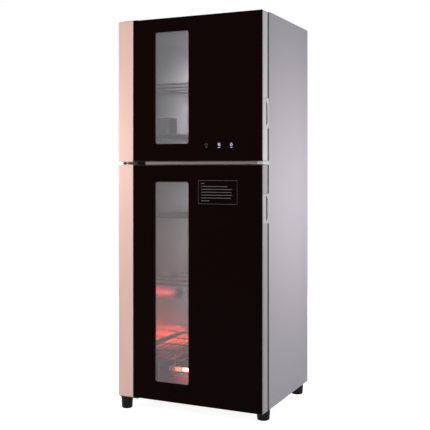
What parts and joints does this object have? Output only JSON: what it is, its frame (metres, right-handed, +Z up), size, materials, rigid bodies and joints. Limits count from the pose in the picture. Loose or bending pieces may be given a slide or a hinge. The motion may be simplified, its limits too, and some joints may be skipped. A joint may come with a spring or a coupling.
{
  "type": "dish sterilizer cabinet",
  "caption": "Tall dish sterilizer cabinet with hinged dark glass doors, wire racks on ledges, quartz heaters and short round feet.",
  "frame": {"origin": "on the floor under the middle of the cabinet's box, doors included", "axes": "+X to the right seen from the front, +Y to the back, +Z up"},
  "size_m": [0.425, 0.365, 1.063],
  "materials": {
    "black_glass": "gloss black back-painted glass",
    "clear_glass": "clear toughened glass",
    "rose_gold_trim": "rose-gold anodised, satin",
    "silver_trim": "silver anodised, satin",
    "casing_paint": "semi-gloss metallic grey paint",
    "stainless": "brushed stainless sheet",
    "dark_plastic": "moulded, fine grain",
    "grey_plastic": "moulded, fine grain",
    "seal_rubber": "soft extruded seal",
    "hinge_steel": "dark brown painted steel",
    "chrome_wire": "chrome-plated wire",
    "quartz": "milky quartz, lit",
    "foot_rubber": "moulded black rubber",
    "circuit_board": "green coated circuit board",
    "insulation": "mineral wool blanket"
  },
  "bodies": {
    "upper_door": {"upper_door_trim_strip": "rose_gold_trim", "upper_door_glass": "black_glass", "upper_door_side_profile": "silver_trim", "upper_door_grip": "silver_trim", "upper_door_top_cap": "dark_plastic", "upper_door_bottom_cap": "dark_plastic", "upper_door_inner_panel": "stainless", "upper_door_inner_glass": "clear_glass", "upper_door_gasket": "seal_rubber", "touch_control_board": "circuit_board"},
    "lower_door": {"lower_door_trim_strip": "rose_gold_trim", "lower_door_glass": "black_glass", "lower_door_side_profile": "silver_trim", "lower_door_grip": "silver_trim", "lower_door_top_cap": "dark_plastic", "lower_door_bottom_cap": "dark_plastic", "lower_door_inner_panel": "stainless", "lower_door_inner_glass": "clear_glass", "lower_door_gasket": "seal_rubber"},
    "cabinet": {"left_side_panel": "casing_paint", "right_side_panel": "casing_paint", "top_panel": "casing_paint", "base_panel": "casing_paint", "back_panel": "casing_paint", "front_frame": "stainless", "upper_liner": "stainless", "lower_liner": "stainless", "insulation_wrap": "insulation", "top_hinge_bracket": "hinge_steel", "middle_hinge_bracket": "hinge_steel", "bottom_hinge_plate": "hinge_steel", "upper_left_rack_plate": "stainless", "upper_right_rack_plate": "stainless", "lower_left_rack_plate": "stainless", "lower_right_rack_plate": "stainless", "bottom_heater_tube": "quartz", "rear_heater_tube": "quartz", "bottom_heater_holder": "stainless", "rear_heater_holder": "stainless", "heater_guard": "chrome_wire", "ozone_generator": "grey_plastic", "power_board_box": "grey_plastic", "thermostat": "dark_plastic", "upper_door_switch": "dark_plastic", "lower_door_switch": "dark_plastic", "cord_gland": "dark_plastic", "front_left_foot": "foot_rubber", "front_right_foot": "foot_rubber", "rear_left_foot": "foot_rubber", "rear_right_foot": "foot_rubber"},
    "upper_shelf_1": {"upper_rack_1": "chrome_wire"},
    "upper_shelf_2": {"upper_rack_2": "chrome_wire"},
    "lower_shelf_1": {"lower_rack_1": "chrome_wire"},
    "lower_shelf_2": {"lower_rack_2": "chrome_wire"},
    "lower_shelf_3": {"lower_rack_3": "chrome_wire"},
    "tray": {"drip_tray": "stainless"}
  },
  "joints": [
    {"name": "upper_door_hinge", "type": "hinge", "parent": "cabinet", "child": "upper_door", "pos_m": [-0.1985, -0.1685, 0.869], "axis": [0, 0, -1], "range_deg": [0, 110]},
    {"name": "lower_door_hinge", "type": "hinge", "parent": "cabinet", "child": "lower_door", "pos_m": [-0.1985, -0.1685, 0.351], "axis": [0, 0, -1], "range_deg": [0, 110]},
    {"name": "upper_rack_1_slide", "type": "slide", "parent": "cabinet", "child": "upper_shelf_1", "axis": [0, -1, 0], "range_m": [0, 0.025]},
    {"name": "upper_rack_2_slide", "type": "slide", "parent": "cabinet", "child": "upper_shelf_2", "axis": [0, -1, 0], "range_m": [0, 0.025]},
    {"name": "lower_rack_1_slide", "type": "slide", "parent": "cabinet", "child": "lower_shelf_1", "axis": [0, -1, 0], "range_m": [0, 0.025]},
    {"name": "lower_rack_2_slide", "type": "slide", "parent": "cabinet", "child": "lower_shelf_2", "axis": [0, -1, 0], "range_m": [0, 0.025]},
    {"name": "lower_rack_3_slide", "type": "slide", "parent": "cabinet", "child": "lower_shelf_3", "axis": [0, -1, 0], "range_m": [0, 0.025]},
    {"name": "drip_tray_slide", "type": "slide", "parent": "cabinet", "child": "tray", "axis": [0, -1, 0], "range_m": [0, 0.025]}
  ]
}
